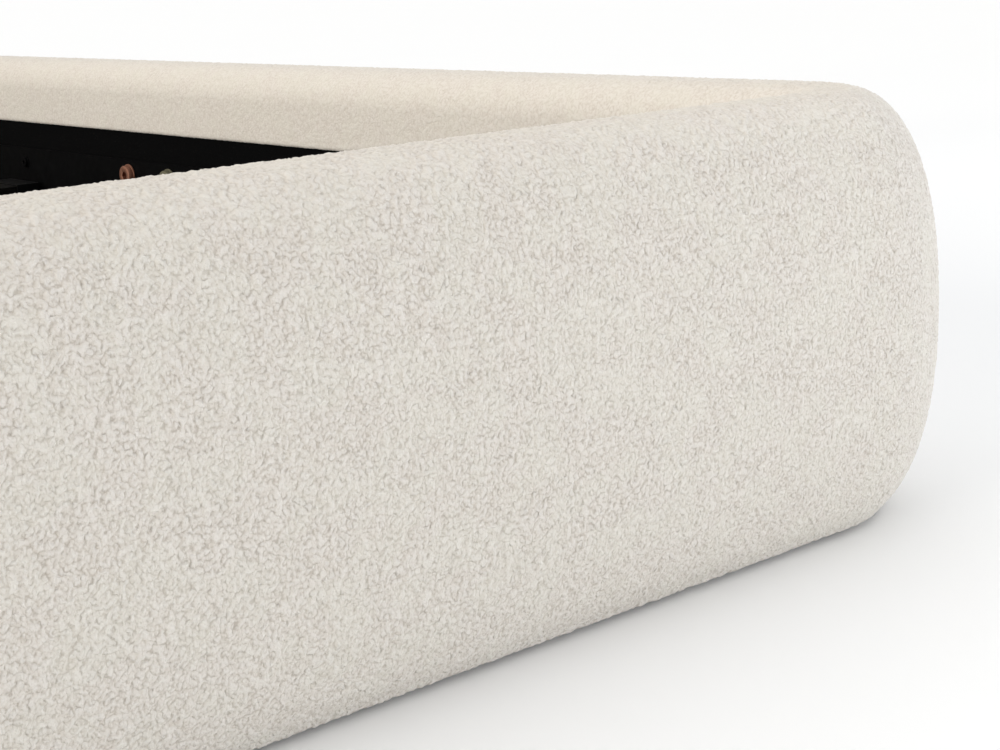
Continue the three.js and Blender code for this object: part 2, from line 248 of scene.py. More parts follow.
def boucle_material():
    """Looped wool, its loops calmer where the pad faces up and where their relief is kept low. Its colour
    holds painted shade, darker low on the loops and in the gaps between them, and painted light on the
    loops' tops.
    """
    material, tree, shader = new_material("boucle")
    position = object_position(tree)
    height, gap = curl_field(tree, position)
    yarn, _ = noise(tree, position, YARN_SIZE, detail=3.0, roughness=0.65)
    # painted shade low on the loops and painted light on their tops
    colour = mix_colour(tree, ramp(tree, height, 0.4, 1.0), LOOP_LOW_PAINTED_SHADE, LOOP_TOP_PAINTED_LIGHT)
    upward = node(tree, "ShaderNodeSeparateXYZ", {0: object_normal(tree)}).outputs[2]
    lift = node(tree, "ShaderNodeAttribute", attribute_name="lift").outputs["Vector"]
    fullness = node(tree, "ShaderNodeVectorMath", {0: lift}, operation="LENGTH").outputs["Value"]
    liveliness = maths(tree, "MULTIPLY", ramp(tree, upward, 0.4, 0.95, 1.0, 0.5), fullness)
    # painted shade in the gaps, less where the pad faces up and where its relief is kept low
    depth = maths(tree, "MULTIPLY", maths(tree, "MULTIPLY", gap, GAP_PAINTED_SHADE_AMOUNT), liveliness)
    colour = mix_colour(tree, depth, colour, GAP_PAINTED_SHADE)
    patches, _ = noise(tree, position, PATCH_SIZE, detail=3.0)
    colour = mix_colour(tree, ramp(tree, patches, 0.42, 0.6, 0.0, 0.25), colour, PATCH_TINT)
    relief = maths(tree, "MULTIPLY", maths(tree, "MULTIPLY_ADD", yarn, 0.4, height), liveliness)
    set_shader(tree, shader, Base_Color=colour, Roughness=0.92, Normal=bump(tree, relief, 0.0012))
    set_shader(tree, shader, Sheen_Weight=0.3, Sheen_Roughness=0.5, Sheen_Tint=(1.0, 0.97, 0.93, 1))
    set_shader(tree, shader, Specular_IOR_Level=0.15)
    return material


def lining_material():
    """Black spun-bonded cloth with a fine pressed dimple pattern."""
    material, tree, shader = new_material("black_lining")
    position = object_position(tree)
    dimples = cells(tree, position, 0.0018)
    fibres, _ = noise(tree, position, 0.0008, detail=3.0)
    colour = mix_colour(tree, fibres, (0.001, 0.001, 0.001, 1), (0.003, 0.003, 0.0033, 1))
    normal = bump(tree, maths(tree, "ADD", dimples, fibres), 0.0004)
    set_shader(tree, shader, Base_Color=colour, Roughness=0.9, Normal=normal, Specular_IOR_Level=0.04)
    return material


def powder_coat_material():
    material, tree, shader = new_material("black_powder_coat")
    position = object_position(tree)
    orange_peel, _ = noise(tree, position, 0.0016, detail=2.0)
    rubs, _ = noise(tree, position, 0.02, detail=4.0, roughness=0.6)
    colour = mix_colour(tree, ramp(tree, rubs, 0.55, 0.75), COAT_BLACK, COAT_RUBBED)
    roughness = ramp(tree, rubs, 0.3, 0.7, 0.6, 0.75)
    normal = bump(tree, orange_peel, 0.00015)
    set_shader(tree, shader, Base_Color=colour, Roughness=roughness, Normal=normal)
    set_shader(tree, shader, Specular_IOR_Level=0.05)
    return material


def wood_material(name, dark, light, along, grain, roughness):
    """Straight-grained wood whose grain runs along the given axis (0, 1 or 2)."""
    material, tree, shader = new_material(name)
    stretch = [1.0, 1.0, 1.0]
    stretch[along] = 0.06
    position = node(
        tree, "ShaderNodeMapping", {"Vector": object_position(tree), "Scale": stretch}
    ).outputs[0]
    bands, _ = noise(tree, position, grain, detail=6.0, roughness=0.6)
    pores, _ = noise(tree, position, grain * 0.12, detail=2.0)
    pore_tone = ramp(tree, pores, 0.45, 0.65)
    band_tone = maths(tree, "MULTIPLY", bands, 0.8)
    tone = maths(tree, "MULTIPLY_ADD", pore_tone, 0.3, band_tone)
    colour = mix_colour(tree, ramp(tree, tone, 0.25, 0.75), dark, light)
    normal = bump(tree, pores, 0.0003)
    set_shader(tree, shader, Base_Color=colour, Roughness=roughness, Normal=normal)
    set_shader(tree, shader, Specular_IOR_Level=0.08)
    return material


def plastic_material():
    material, tree, shader = new_material("black_plastic")
    grain, _ = noise(tree, object_position(tree), 0.0009, detail=2.0)
    colour = mix_colour(tree, grain, (0.002, 0.002, 0.0022, 1), (0.004, 0.004, 0.0043, 1))
    set_shader(tree, shader, Base_Color=colour, Roughness=0.6, Normal=bump(tree, grain, 0.0001))
    set_shader(tree, shader, Specular_IOR_Level=0.08)
    return material


def metal_material(name, dark, light, roughness):
    """Plated steel with fine wear."""
    material, tree, shader = new_material(name)
    position = object_position(tree)
    stain, _ = noise(tree, position, 0.006, detail=4.0)
    scratch, _ = noise(tree, position, 0.0007, detail=2.0)
    colour = mix_colour(tree, stain, dark, light)
    rough = ramp(tree, stain, 0.3, 0.7, roughness - 0.08, roughness + 0.1)
    set_shader(tree, shader, Base_Color=colour, Metallic=1.0, Roughness=rough)
    set_shader(tree, shader, Normal=bump(tree, scratch, 0.00006))
    return material


BOUCLE = boucle_material()
LINING = lining_material()
STEEL = powder_coat_material()
PLASTIC = plastic_material()
SLAT_WOOD = wood_material("black_stained_slat", SLAT_DARK, SLAT_LIGHT, 0, 0.02, 0.7)
PLYWOOD_X = wood_material("stained_plywood_across", STAIN_DARK, STAIN_LIGHT, 0, 0.03, 0.6)
PLYWOOD_Y = wood_material("stained_plywood_along", STAIN_DARK, STAIN_LIGHT, 1, 0.03, 0.6)
PINE_X = wood_material("pine_across", PINE_DARK, PINE_LIGHT, 0, 0.018, 0.65)
PINE_Z = wood_material("pine_upright", PINE_DARK, PINE_LIGHT, 2, 0.018, 0.65)
ZINC = metal_material("zinc_plate", (0.45, 0.45, 0.43, 1), (0.62, 0.62, 0.6, 1), 0.35)
BRONZE = metal_material("bronze_plate", (0.26, 0.12, 0.078, 1), (0.38, 0.2, 0.138, 1), 0.6)
DULL_BRONZE = metal_material("dull_bronze_plate", (0.17, 0.158, 0.105, 1), (0.26, 0.25, 0.175, 1), 0.65)

# ---------------------------------------------------------------- mesh helpers


def grid_faces(columns, rows, closed):
    """Quads between rows of a columns x rows grid of vertices, numbered row by row within a column."""
    i = np.arange(columns - 1)[:, None]
    j = np.arange(rows if closed else rows - 1)[None, :]
    k = (j + 1) % rows
    corners = [i * rows + j, i * rows + k, (i + 1) * rows + k, (i + 1) * rows + j]
    return np.stack(np.broadcast_arrays(*corners), -1).reshape(-1, 4)


def mesh_object(name, points, quads, polygons=()):
    """A smooth-shaded mesh object from an array of points, an array of quads and a few larger polygons."""
    mesh = bpy.data.meshes.new(name)
    loops = np.concatenate([quads.reshape(-1)] + [np.asarray(p) for p in polygons]).astype(np.int32)
    sizes = np.concatenate([np.full(len(quads), 4), [len(p) for p in polygons]]).astype(np.int32)
    mesh.vertices.add(len(points))
    mesh.vertices.foreach_set("co", points.astype(np.float32).reshape(-1))
    mesh.loops.add(len(loops))
    mesh.loops.foreach_set("vertex_index", loops)
    mesh.polygons.add(len(sizes))
    starts = np.concatenate([[0], np.cumsum(sizes)[:-1]]).astype(np.int32)
    mesh.polygons.foreach_set("loop_start", starts)
    mesh.update(calc_edges=True)
    mesh.shade_smooth()
    made = bpy.data.objects.new(name, mesh)
    bpy.context.scene.collection.objects.link(made)
    return made


def set_lift(piece, directions):
    """Which way, and how fully, the loops rise at each point."""
    attribute = piece.data.attributes.new("lift", "FLOAT_VECTOR", "POINT")
    attribute.data.foreach_set("vector", directions.astype(np.float32).reshape(-1))


def sharpen_ends(piece, ring_size):
    """Keeps the flat ends of a swept piece from shading its sides."""
    mesh = piece.data
    ends = np.zeros(len(mesh.edges) * 2, dtype=np.int32)
    mesh.edges.foreach_get("vertices", ends)
    ends = ends.reshape(-1, 2)
    last = len(mesh.vertices) - ring_size
    sharp = (ends < ring_size).all(axis=1) | (ends >= last).all(axis=1)
    attribute = mesh.attributes.new("sharp_edge", "BOOLEAN", "EDGE")
    attribute.data.foreach_set("value", sharp)


def apply_modifiers(piece):
    """Replaces the piece's mesh by what its modifiers make of it."""
    graph = bpy.context.evaluated_depsgraph_get()
    mesh = bpy.data.meshes.new_from_object(piece.evaluated_get(graph), depsgraph=graph)
    piece.modifiers.clear()
    old = piece.data
    piece.data = mesh
    bpy.data.meshes.remove(old)


# ---------------------------------------------------------------- the boucle's loops, as real relief


def curl_modifier_tree():
    """Moves each point along its stored "lift" direction by the curl field."""
    tree = bpy.data.node_groups.new("boucle_relief", "GeometryNodeTree")
    tree.interface.new_socket("Geometry", in_out="INPUT", socket_type="NodeSocketGeometry")
    tree.interface.new_socket("Geometry", in_out="OUTPUT", socket_type="NodeSocketGeometry")
    source = tree.nodes.new("NodeGroupInput")
    target = tree.nodes.new("NodeGroupOutput")
    position = tree.nodes.new("GeometryNodeInputPosition").outputs[0]
    stored = node(tree, "GeometryNodeInputNamedAttribute", {"Name": "lift"}, data_type="FLOAT_VECTOR")
    height, _ = curl_field(tree, position)
    rise = maths(tree, "SUBTRACT", height, CURL_MIDDLE)
    offset = scaled(tree, stored.outputs[0], maths(tree, "MULTIPLY", rise, CURL_HEIGHT))
    moved = node(tree, "GeometryNodeSetPosition", {"Geometry": source.outputs[0], "Offset": offset})
    tree.links.new(moved.outputs[0], target.inputs[0])
    return tree


RELIEF = curl_modifier_tree()


def finish_cover(piece, replaced):
    """Raises the loops on a pad, gives it its cloth and takes the CAD pad's place."""
    modifier = piece.modifiers.new("relief", "NODES")
    modifier.node_group = RELIEF
    apply_modifiers(piece)
    piece.data.materials.append(BOUCLE)
    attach(piece, BODY)
    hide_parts(replaced)


# ---------------------------------------------------------------- rail covers


def spaced(points, step):
    """Points at about that spacing along a polyline, its own ends kept."""
    points = np.asarray(points, float)
    lengths = np.linalg.norm(np.diff(points, axis=0), axis=1)
    along = np.concatenate([[0], np.cumsum(lengths)])
    count = max(2, int(round(along[-1] / step)) + 1)
    at = np.linspace(0, along[-1], count)
    return np.stack([np.interp(at, along, points[:, k]) for k in range(points.shape[1])], -1)


def arc(centre, radii, start, end, count=60):
    angles = np.radians(np.linspace(start, end, count))
    return [(centre[0] + radii[0] * math.cos(a), centre[1] + radii[1] * math.sin(a)) for a in angles]


def full_arc(centre, radii, start, end, count=200):
    """An arc with fuller shoulders than an ellipse's."""
    angles = np.radians(np.linspace(start, end, count))
    x = centre[0] + radii[0] * np.abs(np.cos(angles)) ** (2 / FULLNESS)
    y = centre[1] + radii[1] * np.sign(np.sin(angles)) * np.abs(np.sin(angles)) ** (2 / FULLNESS)
    return list(zip(x, y))


def rail_section(step):
    """The rail's closed outline as (out, z): first what the eye sees, then what lies against the board."""
    apex = RAIL_THICK - BULGE
    rise = RAIL_TOP - BULGE_Z
    drop = (BULGE_Z - FLOOR_GAP - UNDER_TURN) / rise
    lowest = -math.degrees(math.asin(drop ** (FULLNESS / 2)))
    outside = full_arc((apex, BULGE_Z), (BULGE, rise), lowest, 90)
    edge = outside[0][0]
    tuck = [
        (BOARD_OUT, FLOOR_GAP),
        (edge - UNDER_FLAT, FLOOR_GAP),
        (edge - UNDER_TURN / 2, FLOOR_GAP + UNDER_TURN / 4),
    ]
    r = INNER_ROUNDING
    inside = arc((r, RAIL_TOP - r), (r, r), 90, 180)
    hem = [
        (0.0, COVER_HEM_Z + HEM_ROUND),
        (HEM_ROUND * 0.3, COVER_HEM_Z + HEM_ROUND / 4),
        (HEM_ROUND, COVER_HEM_Z),
    ]
    seen = spaced(tuck + outside + inside + hem, step)
    hidden = [(COVER_LIP, COVER_HEM_Z), (COVER_LIP, BOARD_TOP), (BOARD_OUT, BOARD_TOP)]
    behind = spaced(hidden + [(BOARD_OUT, FLOOR_GAP)], HIDDEN_STEP)[:-1]
    looped = INNER_CALM + (1 - INNER_CALM) * np.clip(seen[:, 0] / r, 0, 1)
    cover = np.concatenate([looped, np.zeros(len(behind))])
    return np.concatenate([seen, behind]), cover


def foot_path():
    """Points on the inner face and the outward directions there, from the right side round to the left."""
    centre_x = WELL_X - INNER_CORNER
    centre_y = FOOT_Y + INNER_CORNER
    end_y = foot_high.y + JOINT_CLOSING
    turn_steps = int(math.radians(90) * (INNER_CORNER + RAIL_THICK * CORNER_STEP_OUT) / FOOT_STEP)
    points, outs = [], []

    def straight(start, end, out):
        count = max(2, int(round((Vector(end) - Vector(start)).length / FOOT_STEP)))
        for t in np.linspace(0, 1, count, endpoint=False):
            points.append(Vector(start).lerp(Vector(end), t))
            outs.append(Vector(out))

    def corner(x, start_angle):
        for i in range(turn_steps):
            a = math.radians(start_angle - 90 * i / turn_steps)
            out = Vector((math.cos(a), math.sin(a)))
            points.append(Vector((x, centre_y)) + INNER_CORNER * out)
            outs.append(out)

    straight((WELL_X, end_y), (WELL_X, centre_y), (1, 0))
    corner(centre_x, 0)
    straight((centre_x, FOOT_Y), (-centre_x, FOOT_Y), (0, -1))
    corner(-centre_x, -90)
    straight((-WELL_X, centre_y), (-WELL_X, end_y), (-1, 0))
    points.append(Vector((-WELL_X, end_y)))
    outs.append(Vector((-1, 0)))
    return np.array(points), np.array(outs)


def side_path(side, step):
    """The same for a straight side rail, from its head end on the right and its foot end on the left."""
    start = side_low.y - JOINT_CLOSING
    count = int(round((side_high.y - start) / step))
    y = np.linspace(side_high.y, start, count)
    if side < 0:
        y = y[::-1]
    points = np.stack([np.full(count, side * WELL_X), y], -1)
    return points, np.tile([side, 0.0], (count, 1))


def section_normals(section, cover):
    ahead = np.roll(section, -1, axis=0) - np.roll(section, 1, axis=0)
    normals = np.stack([ahead[:, 1], -ahead[:, 0]], -1)
    normals /= np.maximum(np.linalg.norm(normals, axis=1, keepdims=True), 1e-9)
    return normals * cover[:, None]


def swept(points, outs, section):
    """A section of (out, z) pairs at each of the path's points."""
    xy = points[:, None, :] + outs[:, None, :] * section[None, :, :1]
    z = np.broadcast_to(section[None, :, 1:], (len(points), len(section), 1))
    return np.concatenate([xy, z], -1).reshape(-1, 3)


def rail_cover(name, path, step, replaced):
    """Sweeps the rail's section along a path of inner-face points and outward directions."""
    points, outs = path
    section, cover = rail_section(step)
    normals = section_normals(section, cover)
    columns, rows = len(points), len(section)
    vertices = swept(points, outs, section)
    directions = swept(np.zeros_like(points), outs, normals)
    quads = grid_faces(columns, rows, closed=True)
    first = np.arange(rows)
    last = np.arange(rows)[::-1] + (columns - 1) * rows
    piece = mesh_object(name, vertices, quads[:, ::-1], [first, last])
    set_lift(piece, directions)
    sharpen_ends(piece, rows)
    finish_cover(piece, replaced)


rail_cover("foot_cover", foot_path(), FOOT_STEP, "foot_pad")
for word, step in (("left", LEFT_STEP), ("right", RIGHT_STEP)):
    rail_cover(f"side_cover_{word}", side_path(SIDES[word], step), step, f"side_pad_{word}")

# ---------------------------------------------------------------- headboard cover

HEAD_EDGE = 0.045  # rounding of the front edges
HEAD_BACK_EDGE = 0.007
HEAD_TOP_CORNER = 0.18
HEAD_BOTTOM_CORNER = 0.05
HEAD_CROWN = 0.006
CROWN_LOWEST = 0.4  # the crown begins this share of half the height below the middle
HEAD_PRESSED = 0.0014  # how far the face is pushed in where the rails meet it
PRESSED_MARGIN = 0.01
BACK_Y = head_high.y
POCKET_X = panel_high.x + BOARD_GAP
POCKET_TOP = panel_high.z + BOARD_GAP
POCKET_Y = panel_low.y - BOARD_GAP
POCKET_FOOT = head_low.z + 0.012


def head_ring(square, inset):
    """The headboard's outline, drawn in by inset, at points on the edge of a square of half side 1."""
    half_x = head_high.x - inset
    half_z = (head_high.z - head_low.z) / 2 - inset
    middle = (head_high.z + head_low.z) / 2
    x, z = square[:, 0] * half_x, square[:, 1] * half_z
    radius = np.where(z > 0, HEAD_TOP_CORNER, HEAD_BOTTOM_CORNER) - inset
    radius = np.maximum(radius, 0.001)
    over_x = np.clip((np.abs(x) - (half_x - radius)) / radius, 0, 1)
    over_z = np.clip((np.abs(z) - (half_z - radius)) / radius, 0, 1)
    rounded = (over_x > 0) & (over_z > 0)
    angle = np.where(over_x >= over_z, over_z * math.pi / 4, math.pi / 2 - over_x * math.pi / 4)
    x = np.where(rounded, np.sign(x) * (half_x - radius + radius * np.cos(angle)), x)
    z = np.where(rounded, np.sign(z) * (half_z - radius + radius * np.sin(angle)), z)
    return np.stack([x, z + middle], -1)


def square_border(columns, rows):
    """Indices of a grid's border points, once round, for a grid numbered row by row within a column."""
    bottom = [i * rows for i in range(columns - 1)]
    right = [(columns - 1) * rows + j for j in range(rows - 1)]
    top = [i * rows + rows - 1 for i in range(columns - 1, 0, -1)]
    left = list(range(rows - 1, 0, -1))
    return np.array(bottom + right + top + left)


def head_face(columns, rows):
    """The front face's points: a square grid that bends to the outline towards its border."""
    u, v = np.meshgrid(np.linspace(-1, 1, columns), np.linspace(-1, 1, rows), indexing="ij")
    u, v = u.reshape(-1), v.reshape(-1)
    reach = np.maximum(np.maximum(np.abs(u), np.abs(v)), 1e-6)
    outline = head_ring(np.stack([u / reach, v / reach], -1), HEAD_EDGE)
    middle = np.array([0, (head_high.z + head_low.z) / 2])
    half = np.array([head_high.x - HEAD_EDGE, (head_high.z - head_low.z) / 2 - HEAD_EDGE])
    plain = np.stack([u, v], -1) * half + middle
    bent = (outline - middle) * reach[:, None] + middle
    share = np.clip((reach - 0.5) / 0.5, 0, 1)[:, None] ** 2
    xz = plain * (1 - share) + bent * share
    crown = HEAD_CROWN * (1 - u**2) ** 2 * (1 - v**2) ** 2
    crown = crown * np.clip((v + CROWN_LOWEST) / CROWN_LOWEST, 0, 1) ** 2
    below_rails = xz[:, 1] < RAIL_TOP + PRESSED_MARGIN
    between_sides = np.abs(xz[:, 0]) < WELL_X + RAIL_THICK - PRESSED_MARGIN
    pressed = HEAD_PRESSED * (below_rails & between_sides)
    return np.stack([xz[:, 0], head_low.y - crown + pressed, xz[:, 1]], -1)


def head_rings(border, step):
    """Rings from the face's border over the side and into the pocket, and how full the relief is there."""
    rings, weights = [], []

    def ring(inset, y):
        xz = head_ring(border, inset)
        rings.append(np.stack([xz[:, 0], np.full(len(xz), y), xz[:, 1]], -1))
        weights.append(np.ones(len(xz)))

    for angle in np.arange(step / HEAD_EDGE, math.pi / 2, step / HEAD_EDGE):
        ring(HEAD_EDGE * (1 - math.sin(angle)), head_low.y + HEAD_EDGE * (1 - math.cos(angle)))
    for y in np.arange(head_low.y + HEAD_EDGE, BACK_Y - HEAD_BACK_EDGE, step):
        ring(0.0, y)
    for angle in np.radians([0, 30, 60, 90]):
        inset = HEAD_BACK_EDGE * (1 - math.cos(angle))
        ring(inset, BACK_Y - HEAD_BACK_EDGE * (1 - math.sin(angle)))
    outer = rings[-1]
    pocket = np.stack(
        [
            np.clip(outer[:, 0], -POCKET_X, POCKET_X),
            outer[:, 1],
            np.clip(outer[:, 2], POCKET_FOOT, POCKET_TOP),
        ],
        -1,
    )
    for share in np.linspace(0, 1, 18)[1:]:
        rings.append(outer * (1 - share) + pocket * share)
        weights.append(np.full(len(outer), 1.0 if share < 0.95 else 0.0))
    for y in np.linspace(BACK_Y, POCKET_Y, 10)[1:]:
        wall = pocket.copy()
        wall[:, 1] = y
        rings.append(wall)
        weights.append(np.zeros(len(outer)))
    return rings, weights


def open_pocket_foot(points):
    """Takes the pocket out through the pad's bottom edge: nothing there is behind the pocket's floor."""
    inside = (np.abs(points[:, 0]) < POCKET_X) & (points[:, 2] < head_low.z + HEAD_BOTTOM_CORNER)
    points[inside, 1] = np.minimum(points[inside, 1], POCKET_Y)


def headboard_cover():
    step = HEADBOARD_STEP
    columns = int(2 * (head_high.x - HEAD_EDGE) / step)
    rows = int((head_high.z - head_low.z - 2 * HEAD_EDGE) / step)
    face = head_face(columns, rows)
    border_index = square_border(columns, rows)
    u, v = np.meshgrid(np.linspace(-1, 1, columns), np.linspace(-1, 1, rows), indexing="ij")
    border = np.stack([u.reshape(-1), v.reshape(-1)], -1)[border_index]
    rings, weights = head_rings(border, step)
    points = np.concatenate([face] + rings)
    cover = np.concatenate([np.ones(len(face))] + weights)
    open_pocket_foot(points)
    quads = [grid_faces(columns, rows, closed=False)[:, ::-1]]
    count = len(border_index)
    inner = border_index
    for i in range(len(rings)):
        outer = len(face) + i * count + np.arange(count)
        quads.append(np.stack([inner, np.roll(inner, -1), np.roll(outer, -1), outer], -1)[:, ::-1])
        inner = outer
    piece = mesh_object("headboard_cover", points, np.concatenate(quads), [inner])
    normals = np.zeros(len(points) * 3, dtype=np.float32)
    piece.data.vertices.foreach_get("normal", normals)
    set_lift(piece, normals.reshape(-1, 3) * cover[:, None])
    finish_cover(piece, "headboard_pad")


headboard_cover()

# ---------------------------------------------------------------- small swept and turned pieces


def finish_piece(piece, material, body=BODY, sharp=35):
    piece.data.materials.append(material)
    piece.data.set_sharp_from_angle(angle=math.radians(sharp))
    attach(piece, body)
    return piece


def turned_points(profile, sides):
    """Rings of points for (radius, height, hexagonal) entries, hexagonal being 1 for a hexagon."""
    turn = np.linspace(0, 2 * math.pi, sides, endpoint=False)
    flat = math.cos(math.pi / 6) / np.cos(np.mod(turn, math.pi / 3) - math.pi / 6)
    rings = []
    for radius, height, hexagonal in profile:
        reach = radius * (flat if hexagonal else np.ones(sides))
        rings.append(np.stack([reach * np.cos(turn), reach * np.sin(turn), np.full(sides, height)], -1))
    return np.concatenate(rings)


def turned_piece(name, profile, sides):
    points = turned_points(profile, sides)
    quads = grid_faces(len(profile), sides, closed=True)[:, ::-1]
    first = np.arange(sides)[::-1]
    last = np.arange(sides) + (len(profile) - 1) * sides
    return mesh_object(name, points, quads, [first, last])


def point_at(piece, place, direction):
    """Stands a turned piece on a face: its own z axis points in that direction."""
    turn = Vector(direction).to_track_quat("Z", "Y").to_matrix().to_4x4()
    piece.data.transform(Matrix.Translation(place) @ turn)


def swept_tube(path, radius, sides=6):
    """Points and faces of a thin tube along a path of (x, z) points."""
    path = np.asarray(path, float)
    ahead = np.gradient(path, axis=0)
    ahead /= np.linalg.norm(ahead, axis=1, keepdims=True)
    across = np.stack([-ahead[:, 1], ahead[:, 0]], -1)
    turn = np.linspace(0, 2 * math.pi, sides, endpoint=False)
    rings = path[:, None] + across[:, None] * (radius * np.cos(turn))[None, :, None]
    depth = np.broadcast_to(radius * np.sin(turn), (len(path), sides))
    points = np.stack([rings[..., 0], depth, rings[..., 1]], -1).reshape(-1, 3)
    caps = [np.arange(sides)[::-1], np.arange(sides) + (len(path) - 1) * sides]
    return points, grid_faces(len(path), sides, closed=True)[:, ::-1], caps


STAPLE_CORNER = [(5, -1.4), (5, 0.05), (4.7, 0.35), (4.3, 0.45)]  # one half, in millimetres
STAPLE_PATH = [(-x, z) for x, z in STAPLE_CORNER] + STAPLE_CORNER[::-1]
STAPLE_WIRE = 0.0004
STAPLE_TILT = 0.12


def staples(name, places):
    """One piece holding a staple at each (place, direction out of the cloth, direction along it)."""
    wire, quads, caps = swept_tube(np.array(STAPLE_PATH) / 1000, STAPLE_WIRE)
    random = np.random.default_rng(7)
    all_points, all_quads, all_caps = [], [], []
    for i, (place, out, along) in enumerate(places):
        out, along = Vector(out), Vector(along)
        tilt = Matrix.Rotation(random.uniform(-STAPLE_TILT, STAPLE_TILT), 3, out)
        axes = tilt @ Matrix((along, out.cross(along), out)).transposed()
        all_points.append(wire @ np.array(axes).T + np.array(place))
        all_quads.append(quads + i * len(wire))
        all_caps += [cap + i * len(wire) for cap in caps]
    piece = mesh_object(name, np.concatenate(all_points), np.concatenate(all_quads), all_caps)
    return finish_piece(piece, ZINC)


# ---------------------------------------------------------------- black cloths

STAPLE_PITCH = 0.055
CLOTH_THICKNESS = 0.0004
CLOTH_STEP = 0.006  # between the points along a rail's lining
LINING_ROWS = 44
LINING_ABOVE_HEM = 0.012
LINING_DEPTH = 0.0032  # how far behind the rail's inner face the lining lies where it is held
LINING_SAG = 0.0011
LINING_WAVES = 0.0005
LINING_GATHER = 0.0006  # between two staples
GATHER_HEIGHT = 0.03
STAPLE_DEPTH = 0.0029
STAPLE_HEIGHT = 0.008  # above the lining's lower edge
SIDE_PAST_FOOT = 0.0008  # how far the side linings go past the foot's inner face
SIDE_PAST_HEAD = 0.004  # and past the end of their CAD nodes
FOOT_INTO_CORNER = 0.003
BACK_COLUMNS = 260
BACK_ROWS = 170
BACK_STAPLE_EDGE = 0.012  # from the cloth's edge to its staples
FOLD_EDGE = 0.004  # the headboard cloth's edge is turned under, and is thicker there
FOLD_WIDTH = 0.028
FOLD_STEP = 0.003


def slow_waves(a, b, length, seed):
    """Gentle unevenness of about -1 to 1 over two coordinates."""
    random = np.random.default_rng(seed)
    total = np.zeros(np.broadcast(a, b).shape)
    for _ in range(6):
        angle = random.uniform(0, math.pi)
        size = length * random.uniform(0.6, 1.8)
        phase = random.uniform(0, 2 * math.pi)
        total = total + np.sin((a * math.cos(angle) + b * math.sin(angle)) * 2 * math.pi / size + phase)
    return total / 4


def cloth_piece(name, points, columns, rows, replaced, turned_over):
    quads = grid_faces(columns, rows, closed=False)
    piece = mesh_object(name, points, quads[:, ::-1] if turned_over else quads)
    solid = piece.modifiers.new("thickness", "SOLIDIFY")
    solid.thickness = CLOTH_THICKNESS
    solid.offset = 0
    piece.data.materials.append(LINING)
    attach(piece, BODY)
    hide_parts(replaced)
    return piece


def rail_lining(name, start, end, place, out, along, replaced, seed):
    """A lining stapled along its foot, behind the cover's hem. place gives points for (along, depth, z)."""
    top = COVER_HEM_Z + LINING_ABOVE_HEM
    length = np.linspace(start, end, int((end - start) / CLOTH_STEP))
    height = np.linspace(lining_low.z, top, LINING_ROWS)
    s, z = np.meshgrid(length, height, indexing="ij")
    from_foot = np.clip((z - lining_low.z) / GATHER_HEIGHT, 0, 1)
    from_hem = np.clip((COVER_HEM_Z - 0.004 - z) / 0.02, 0, 1)
    loose = from_foot * from_hem
    pull = 0.5 + 0.5 * np.cos(2 * math.pi * (s - start) / STAPLE_PITCH)
    gather = np.exp(-((z - lining_low.z) / GATHER_HEIGHT) ** 2) * (1 - pull)
    sag = loose * (LINING_SAG + LINING_WAVES * slow_waves(s, z, 0.12, seed))
    depth = LINING_DEPTH - sag - LINING_GATHER * gather * from_hem
    points = place(s, depth, z).reshape(-1, 3)
    turned_over = name.endswith("right") or name.startswith("foot")
    piece = cloth_piece(name, points, len(length), len(height), replaced, turned_over)
    pins = []
    for t in np.arange(start + STAPLE_PITCH, end, STAPLE_PITCH):
        pins.append((place(t, STAPLE_DEPTH, lining_low.z + STAPLE_HEIGHT), out, along))
    fixings = staples(f"{name}_staples", pins)


def side_lining(word, side):
    def place(s, depth, z):
        return np.stack(np.broadcast_arrays(side * (WELL_X + depth), s, z), -1)

    node_name = f"side_lining_{word}"
    out = (-side, 0, 0)
    foot_end = FOOT_Y - SIDE_PAST_FOOT
    head_end = lining_high.y + SIDE_PAST_HEAD
    rail_lining(f"side_cloth_{word}", foot_end, head_end, place, out, (0, 1, 0), node_name, 3 + side)


def foot_lining():
    def place(s, depth, z):
        return np.stack(np.broadcast_arrays(s, FOOT_Y - depth, z), -1)

    end = WELL_X + FOOT_INTO_CORNER
    rail_lining("foot_cloth", -end, end, place, (0, 1, 0), (1, 0, 0), "foot_lining", 9)


def back_staple_places(low, high, y):
    edge = BACK_STAPLE_EDGE
    for x in np.arange(low.x + STAPLE_PITCH / 2, high.x, STAPLE_PITCH):
        yield (x, y, low.z + edge), (0, 1, 0), (1, 0, 0)
        yield (x, y, high.z - edge), (0, 1, 0), (1, 0, 0)
    for z in np.arange(low.z + STAPLE_PITCH, high.z - edge, STAPLE_PITCH):
        yield (low.x + edge, y, z), (0, 1, 0), (0, 0, 1)
        yield (high.x - edge, y, z), (0, 1, 0), (0, 0, 1)


